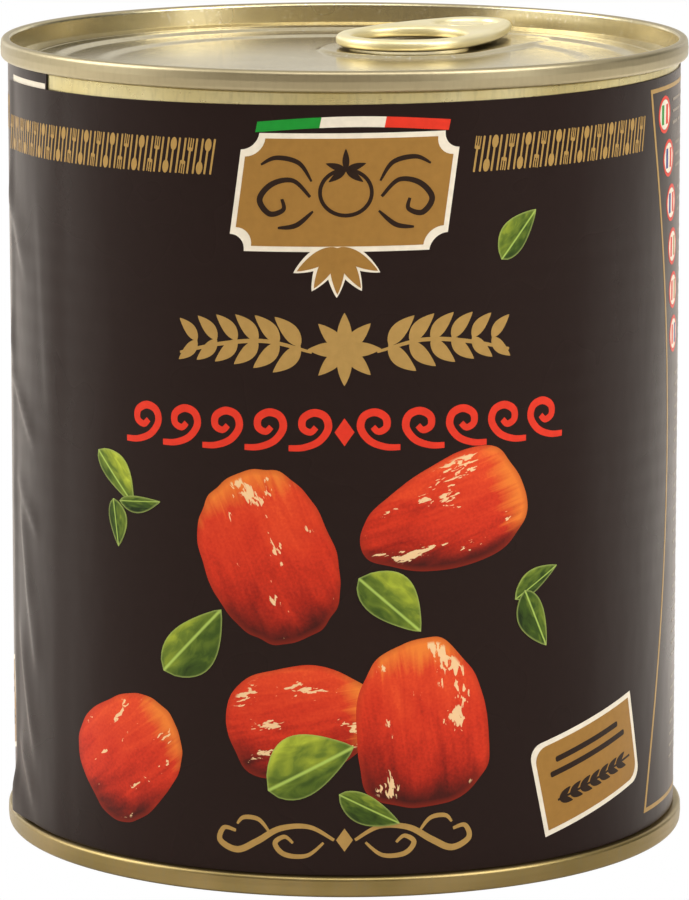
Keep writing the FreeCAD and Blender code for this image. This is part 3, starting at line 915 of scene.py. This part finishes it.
def fruit_motifs(shift):
    """The tomatoes of one front, in the form that add_picture takes."""
    motifs = []
    for index, (s, z, turn, half_x, half_y, seed, egg) in enumerate(TOMATOES):
        outline = placed(through(blob(half_x, half_y, seed, egg), 2, True), s + shift, z, turn)
        motifs.append((outline, (s + shift, z, turn, half_x, half_y), 0.9 * index))
    return motifs


def leaf_motifs(shift):
    """The leaves of one front, in the form that add_picture takes."""
    motifs = []
    for index, (s, z, turn, length, width, bend) in enumerate(LEAVES):
        outline = placed(leaf(length, width, bend), s + shift, z, turn)
        middle = placed([(length / 2, 0)], s + shift, z, turn)[0]
        motifs.append((outline, (*middle, turn, length / 2, width / 2), 0.6 * index))
    return motifs


def cutlery(start, end):
    """Row of small forks, spoons and knives, leaning to the right, up and down by turns."""
    handle = placed(bar(0.30, 3.6, 0.1), 0, -0.75)
    tines = [placed(bar(0.17, 1.5), x, 1.80) for x in (-0.34, 0.0, 0.34)]
    fork = [handle, placed(bar(0.86, 0.50, 0.2), 0, 0.95)] + tines
    spoon = [handle, placed(ellipse(0.50, 0.95, 14), 0, 1.65)]
    knife = [bar(0.30, 5.1, 0.12)]
    order = ((fork, 0), (knife, 0), (spoon, 180), (spoon, 0), (knife, 0), (fork, 180))
    count = round((end - start) / 0.90)
    pitch = (end - start) / count
    shapes = []
    for k in range(count):
        parts, turn = order[k % len(order)]
        shapes += [placed(part, start + (k + 0.5) * pitch, BORDER_AT, turn - 9) for part in parts]
    return shapes


def plaque_outline(grow):
    """Ticket shape leaning to the right, its corners cut by arcs."""
    half_x, half_y, cut = 14.8 + grow, 7.6 + grow, 2.6 - 0.3 * grow
    points = []
    for side_x, side_y, start in ((1, -1, 180), (1, 1, 270), (-1, 1, 0), (-1, -1, 90)):
        for k in range(9):
            angle = math.radians(start - 90 * k / 8)
            points.append((side_x * half_x + cut * math.cos(angle), side_y * half_y + cut * math.sin(angle)))
    return [(x + 0.14 * y, y) for x, y in points]


def ribbon(from_s, to_s):
    """Arched strip above the plaque, part of the tricolour."""
    upper, lower = [], []
    for k in range(13):
        s = from_s + (to_s - from_s) * k / 12
        lift = 0.9 * math.cos(s / 15.0 * math.pi / 2)
        upper.append((s + 1.3, 111.2 + lift))
        lower.append((s + 1.0, 109.7 + lift))
    return upper + lower[::-1]


def emblem(shift):
    """Line drawing on the plaque: a round fruit on its stalk between two scrolls."""
    middle = shift + 0.2
    fruit = [placed(ellipse(*halves, 48), middle, PLAQUE_AT) for halves in ((3.9, 3.5), (3.35, 2.95))]
    crown = [placed(leaf(3.0, 1.1), middle, PLAQUE_AT + 3.2, turn) for turn in (18, 90, 162, 215, -35)]
    scroll = [(-5.0, -0.6), (-7.4, 1.7), (-10.4, 1.2), (-12.2, -1.0), (-10.8, -3.0), (-8.8, -2.4),
              (-9.0, -0.9)]
    strokes = [
        stroke(scroll, 0.85, 0.5),
        stroke([(-4.6, -2.6), (-7.0, -4.6), (-9.6, -5.0)], 0.7, 0.6),
        stroke([(-4.8, 1.6), (-6.6, 4.2), (-9.8, 4.9), (-12.0, 3.9)], 0.7, 0.6),
    ]
    return [fruit] + crown + both_ways(strokes, middle, PLAQUE_AT)


def sheaf(shift, grow):
    """Small fan of ears hanging under the plaque."""
    ear = leaf(6.6 + grow, 2.3 + 2 * grow)
    return [placed(ear, shift - 1.0 - 0.2 * grow, SHEAF_AT, turn) for turn in (-150, -120, -90, -60, -30)]


def sprigs(shift):
    """Laurel band under the plaque: a curved stem with paired leaves on each side of a star."""
    shapes = [stroke([(4.6, -0.6), (11.0, 0.9), (17.5, 0.4), (24.2, -1.2)], 0.60, 0.4)]
    for k in range(6):
        x = 6.2 + 3.05 * k
        y = 0.1 + 0.9 * math.sin(math.pi * (x - 4.6) / 21)
        size = 1.0 - 0.05 * k
        shapes.append(placed(leaf(5.5, 2.5, 0.25), x, y, 48, size))
        shapes.append(placed(leaf(5.5, 2.5, -0.25), x, y, -44, size))
    star = [placed(leaf(5.2, 2.3), shift, SPRIG_AT - 0.2, 45 * k + 90) for k in range(8)]
    return both_ways(shapes, shift, SPRIG_AT) + star


def running_scrolls(shift):
    """Red band of five waves on each side of a diamond."""
    wave = stroke([(-3.3, -2.2), (-1.2, -2.1), (1.0, -1.2), (2.3, 0.6), (1.9, 2.3), (0.3, 2.9), (-1.2, 2.1),
                   (-1.3, 0.7), (-0.2, 0.1), (0.6, 0.8)], 1.12, 0.25, 5)
    shapes = [placed(diamond(1.4, 2.0), shift, SCROLLS_AT + 0.1)]
    for k in range(5):
        shapes += both_ways([placed(wave, -6.4 * (k + 0.72), 0)], shift, SCROLLS_AT)
    return shapes


def flourish(shift):
    """Penwork at the foot of the front."""
    sweep = [(1.5, 0.0), (5.0, 1.9), (9.2, 1.6), (12.6, -0.4), (15.6, -1.8), (18.2, -0.6), (17.6, 1.3),
             (15.8, 1.0)]
    strokes = [
        stroke(sweep, 0.95, 0.55),
        stroke([(3.0, -0.4), (5.4, -2.3), (8.6, -2.2), (10.0, -0.6), (8.6, 0.4), (7.4, -0.5)], 0.75, 0.55),
        stroke([(10.8, 1.0), (12.4, 2.8), (14.6, 3.0), (15.6, 2.0)], 0.65, 0.55),
    ]
    return both_ways(strokes, shift, FLOURISH_AT) + [placed(diamond(1.2, 1.7), shift, FLOURISH_AT)]


def seal_outline(grow):
    """Badge with one pair of corners rounded and the other pair square."""
    half_x, half_y, corner = 10.3 + grow, 6.2 + grow, 2.2
    upper = [(half_x, half_y), (corner - half_x, half_y)]
    for angle in (math.radians(a) for a in range(15, 91, 15)):
        upper.append((corner - half_x - corner * math.sin(angle), half_y - corner + corner * math.cos(angle)))
    return upper + [(-x, -y) for x, y in upper]


def seal_marks():
    """Print on the badge: an ear of grain under two plain bars."""
    shapes = [placed(bar(13.6, 0.85, 0.3), 0, 3.6), placed(bar(16.4, 0.85, 0.3), 0, 1.7)]
    shapes += [placed(leaf(2.7, 1.15), -7.4 + 2.1 * k, -2.4, turn) for turn in (24, -24) for k in range(7)]
    return shapes + [placed(bar(16.6, 0.34), 0.6, -2.4)]


def side_bow(z):
    """How far the side panel's long sides are bowed in at a height."""
    return SIDE_BOW * math.sin(math.pi * (SIDE_TOP - z) / (SIDE_LENGTH + 0.4)) ** 1.1


def side_outline(inset):
    """Outline of the side panel, its long sides bowed in."""
    levels = [SIDE_TOP - inset - (SIDE_LENGTH - 2 * inset) * k / 40 for k in range(41)]
    left = [(SIDE_LEFT + inset + side_bow(z), z) for z in levels]
    return left + [(SIDE_LEFT + SIDE_RIGHT - s, z) for s, z in reversed(left)]


BADGES = [
    # s, z, and the inks of its left and right bar
    (60.2, 108.0, "print_green", "print_red"),
    (62.4, 101.4, "print_blue", "print_red"),
    (64.2, 94.6, "print_blue", "print_red"),
    (65.4, 88.0, "print_red", "print_gold"),
    (66.2, 81.4, "print_red", "print_gold"),
    (66.8, 74.8, "print_red", "print_blue"),
]


def text_row(s, z, draw):
    """Row of fine bars that stands for a line of small print, ending short of the panel's border."""
    last = SIDE_RIGHT - 2.7 - side_bow(z) - draw.uniform(0.0, 3.0)
    shapes = []
    while s < last - 1.5:
        run = min(draw.uniform(2.5, 8.5), last - s)
        shapes.append(placed(bar(run, 0.42), s + run / 2, z))
        s += run + 0.9
    return shapes


def side_text():
    """Small print beside the badges and down the panel."""
    draw = random.Random(5)
    shapes = []
    for s, z, _, _ in BADGES:
        for row in range(3):
            shapes += text_row(s + 4.4, z + TEXT_PITCH * (1 - row), draw)
    for row in range(36):
        if row % 9 != 8:
            shapes += text_row(68.5 - 0.16 * max(0, row - 22), 68.5 - TEXT_PITCH * row, draw)
    return shapes


def badge_print(s, z, left, right):
    """Round badge with two plain bars, as (ink, layer, shapes)."""
    disc, inner, outer = (placed(ellipse(radius, radius, 32), s, z) for radius in (2.2, 2.25, 2.75))
    bars = [(ink, 2, [placed(bar(0.95, 2.9), s + shift, z)]) for ink, shift in ((left, -0.95), (right, 0.95))]
    return [("print_red", 1, [[outer, inner]]), ("print_cream", 1, [disc]), *bars]


def side_print():
    """Side panel: its border, small print and badges, as (ink, layer, shapes)."""
    border = [side_outline(0.0), side_outline(SIDE_LINE)]
    badges = [group for badge in BADGES for group in badge_print(*badge)]
    return [("print_gold", 1, [border]), ("print_grey", 1, side_text()), *badges]


def front_print(shift):
    """Flat print of one front, as (ink, layer, shapes); a higher layer lies over a lower one."""
    s, z, turn = SEAL
    plaque_rim, plaque = (placed(plaque_outline(grow), shift, PLAQUE_AT) for grow in (KEYLINE, 0.0))
    seal_rim, seal = (placed(seal_outline(grow), s + shift, z, turn) for grow in (KEYLINE, 0.0))
    ears = [placed(shape, s + shift, z, turn) for shape in seal_marks()]
    ribbons = (("print_green", -13.6, -4.5), ("print_cream", -4.5, 4.6), ("print_red", 4.6, 13.8))
    return [
        *((ink, 1, [placed(ribbon(start, end), shift, 0)]) for ink, start, end in ribbons),
        ("print_cream", 1, [plaque_rim, *sheaf(shift, 0.45), seal_rim]),
        ("print_gold", 1, sprigs(shift) + flourish(shift)),
        ("print_red", 1, running_scrolls(shift)),
        ("print_bronze", 2, [plaque, *sheaf(shift, 0.0), seal]),
        ("print_dark", 3, emblem(shift) + ears),
    ]


def edge_print():
    """Cutlery border in the gaps between the plaques and the side panel, and the inner end's pale strip."""
    gaps = ((OUTER_END + 0.5, -18.5), (18.5, 52.5), (129.5, 173.0), (211.0, INNER_END - 0.5))
    strip_z = LABEL_TOP + rise(-59.0) - rise(INNER_END - 7.4) + 0.1
    return [*(("print_gold", 1, cutlery(start, end)) for start, end in gaps),
            ("print_cream", 1, [placed(bar(14.2, 1.5), INNER_END - 7.5, strip_z)])]


def print_label():
    """Every ink of the label, with a piece for each layer, and the two pictures."""
    inks = {
        "print_gold": printed_paper("ink_gold", "#b18d50", 0.34),
        "print_bronze": printed_paper("ink_bronze", "#a0763a", 0.34),
        "print_cream": printed_paper("ink_cream", "#eee4d0"),
        "print_red": printed_paper("ink_red", "#e23a28"),
        "print_green": printed_paper("ink_green", "#1f9235"),
        "print_blue": printed_paper("ink_blue", "#2c3f86"),
        "print_dark": printed_paper("ink_dark", "#2c1f18"),
        "print_grey": printed_paper("ink_grey", "#8d8172"),
    }
    shapes = {}
    for ink, layer, more in [*edge_print(), *front_print(0.0), *front_print(SECOND_FRONT), *side_print()]:
        shapes.setdefault((ink, layer), []).extend(more)
    for ink, finish in inks.items():
        for layer in (1, 2, 3):
            if (ink, layer) in shapes:
                add_ink(f"{ink}_{layer}", shapes[ink, layer], layer, finish)
    fruit = fruit_motifs(0.0) + fruit_motifs(SECOND_FRONT)
    leaves = leaf_motifs(0.0) + leaf_motifs(SECOND_FRONT)
    add_picture("print_tomatoes", fruit, 1, tomato_print("ink_tomato"))
    add_picture("print_leaves", leaves, 5, leaf_print("ink_leaf"))


# --- Studio -----------------------------------------------------------------------------------
def build_floor():
    """Pale sweep: a wide floor that shows as plain white to the camera and lights the can from below."""
    mesh = bpy.data.meshes.new("floor")
    reach = 3.0
    corners = [(-reach, -reach, 0), (reach, -reach, 0), (reach, reach, 0), (-reach, reach, 0)]
    mesh.from_pydata(corners, [], [(0, 1, 2, 3)])
    floor = bpy.data.objects.new("floor", mesh)
    bpy.context.scene.collection.objects.link(floor)
    made, tree = new_finish("floor_white")
    place = add_node(tree, "TexCoord")["Object"]
    forward = summed(tree, 0.0, (add_node(tree, "SeparateXYZ", {0: place})[1], -0.5))
    sweep = add_node(tree, "ValToRGB", {"Fac": forward}, [
        (0.0, "#fffcf6"), (0.02, "#d4d0ca"), (0.40, "#d4d0ca"), (0.47, "#efe9de"), (0.58, "#efe9de"),
        (0.72, "#5f564e")])[0]
    matte = add_node(tree, "BsdfDiffuse", {"Color": sweep})[0]
    plain = add_node(tree, "Emission", {"Color": (1.0, 1.0, 1.0, 1.0), "Strength": 1.0})[0]
    to_camera = add_node(tree, "LightPath")["Is Camera Ray"]
    mixed = add_node(tree, "MixShader", {0: to_camera, 1: matte, 2: plain})[0]
    add_node(tree, "OutputMaterial", {"Surface": mixed})
    mesh.materials.append(made)


def build_world():
    """White behind the can, and a dim room in front of it for the metal to mirror."""
    world = bpy.data.worlds.new("studio")
    bpy.context.scene.world = world
    world.use_nodes = True
    tree = world.node_tree
    tree.nodes.clear()
    direction = add_node(tree, "TexCoord")["Generated"]
    x, y, z = add_node(tree, "SeparateXYZ", {0: direction})
    back = add_node(tree, "ValToRGB", {"Fac": summed(tree, 0.5, (y, 0.5))}, [
        (0.20, "#756c63"), (0.45, "#d2cfc9"), (0.75, "#dedad1")])[0]
    right = add_node(tree, "ValToRGB", {"Fac": summed(tree, 0.5, (x, 0.5))}, [(0.68, 1.0), (0.90, 0.16)])[0]
    walls = add_node(tree, "Mix", {0: 1.0, 6: back, 7: right}, data_type="RGBA", blend_type="MULTIPLY")[2]
    up = add_node(tree, "ValToRGB", {"Fac": z}, [(0.40, 0.0), (0.85, 1.0)])[0]
    to_camera = add_node(tree, "LightPath")["Is Camera Ray"]
    shown = overlaid(tree, walls, (up, "#dcd9d4"), (to_camera, "#ffffff"))
    light = add_node(tree, "Background", {"Color": shown, "Strength": 1.0})[0]
    add_node(tree, "OutputWorld", {"Surface": light})


def add_softbox(name, at, aim, width, height, power):
    lamp = bpy.data.lights.new(name, "AREA")
    lamp.shape = "RECTANGLE"
    lamp.size = width
    lamp.size_y = height
    lamp.energy = power
    made = bpy.data.objects.new(name, lamp)
    made.location = at
    made.rotation_euler = (Vector(aim) - Vector(at)).to_track_quat("-Z", "Y").to_euler()
    bpy.context.scene.collection.objects.link(made)


def build_camera():
    """Long lens from slightly above, the whole can filling the frame."""
    lens = bpy.data.cameras.new("camera")
    lens.sensor_width = 36.0
    lens.lens = 218.632
    lens.clip_start = 0.05
    lens.clip_end = 20.0
    camera = bpy.data.objects.new("camera", lens)
    camera.location = (0.0, -0.8080, 0.2006)
    camera.rotation_euler = (math.radians(90 - 10.149), 0.0, 0.0)
    bpy.context.scene.collection.objects.link(camera)
    bpy.context.scene.camera = camera


lid_metal = lacquered_tinplate("gold_lacquered_tinplate", "#d9cda6", "#cec098", 0.36, recess_rough=0.15,
                               wear=0.16)
# Painted shade: the base end gets a darker copy of the tinplate, standing in for the dim light it takes near
# the floor.
base_metal = lacquered_tinplate("shaded_gold_lacquered_end", "#a58f5e", "#93804e", 0.32, wear=0.2)
body_metal = lacquered_tinplate("bright_gold_body_lacquer", "#e0d5a6", "#cfbf84", 0.24, 0.75, wear=0.25)
# The tab's last colour is painted shade, laid on its downward faces.
tab_metal = lacquered_tinplate("pale_lacquered_steel", "#f3e8be", "#e9dba6", 0.34, 0.6, underside_shade="#5a4a30")
black_stock = printed_paper("black_label_stock", "#211615", 0.28, 0.12)

build_lid(lid_metal)
build_base(base_metal)
build_wall(body_metal)
build_rivet(tab_metal)
build_tab(tab_metal)
build_label(black_stock)
print_label()
build_floor()
build_world()
add_softbox("softbox_left", (-1.15, 0.1, 0.92), (0, 0, 0.25), 1.0, 0.9, 13.0)
add_softbox("softbox_right", (0.95, -0.6, 0.92), (0, 0, 0.25), 0.9, 0.9, 12.0)
add_softbox("softbox_front", (0.0, -0.80, 1.4), (0, -0.90, 0), 1.0, 0.8, 8.0)
add_softbox("strip_right", (0.90, -0.64, 0.26), (0, 0, 0.12), 0.30, 0.24, 0.5)
add_softbox("strip_left", (-1.05, -0.25, 0.26), (0, 0, 0.12), 0.75, 0.24, 0.7)
add_softbox("rim_left", (-0.66, 1.12, 0.30), (0, 0, 0.06), 0.28, 0.5, 0.5)
add_softbox("rim_right", (0.60, 1.15, 0.30), (0, 0, 0.06), 0.20, 0.5, 0.25)
build_camera()
bpy.context.scene.view_settings.view_transform = "Standard"
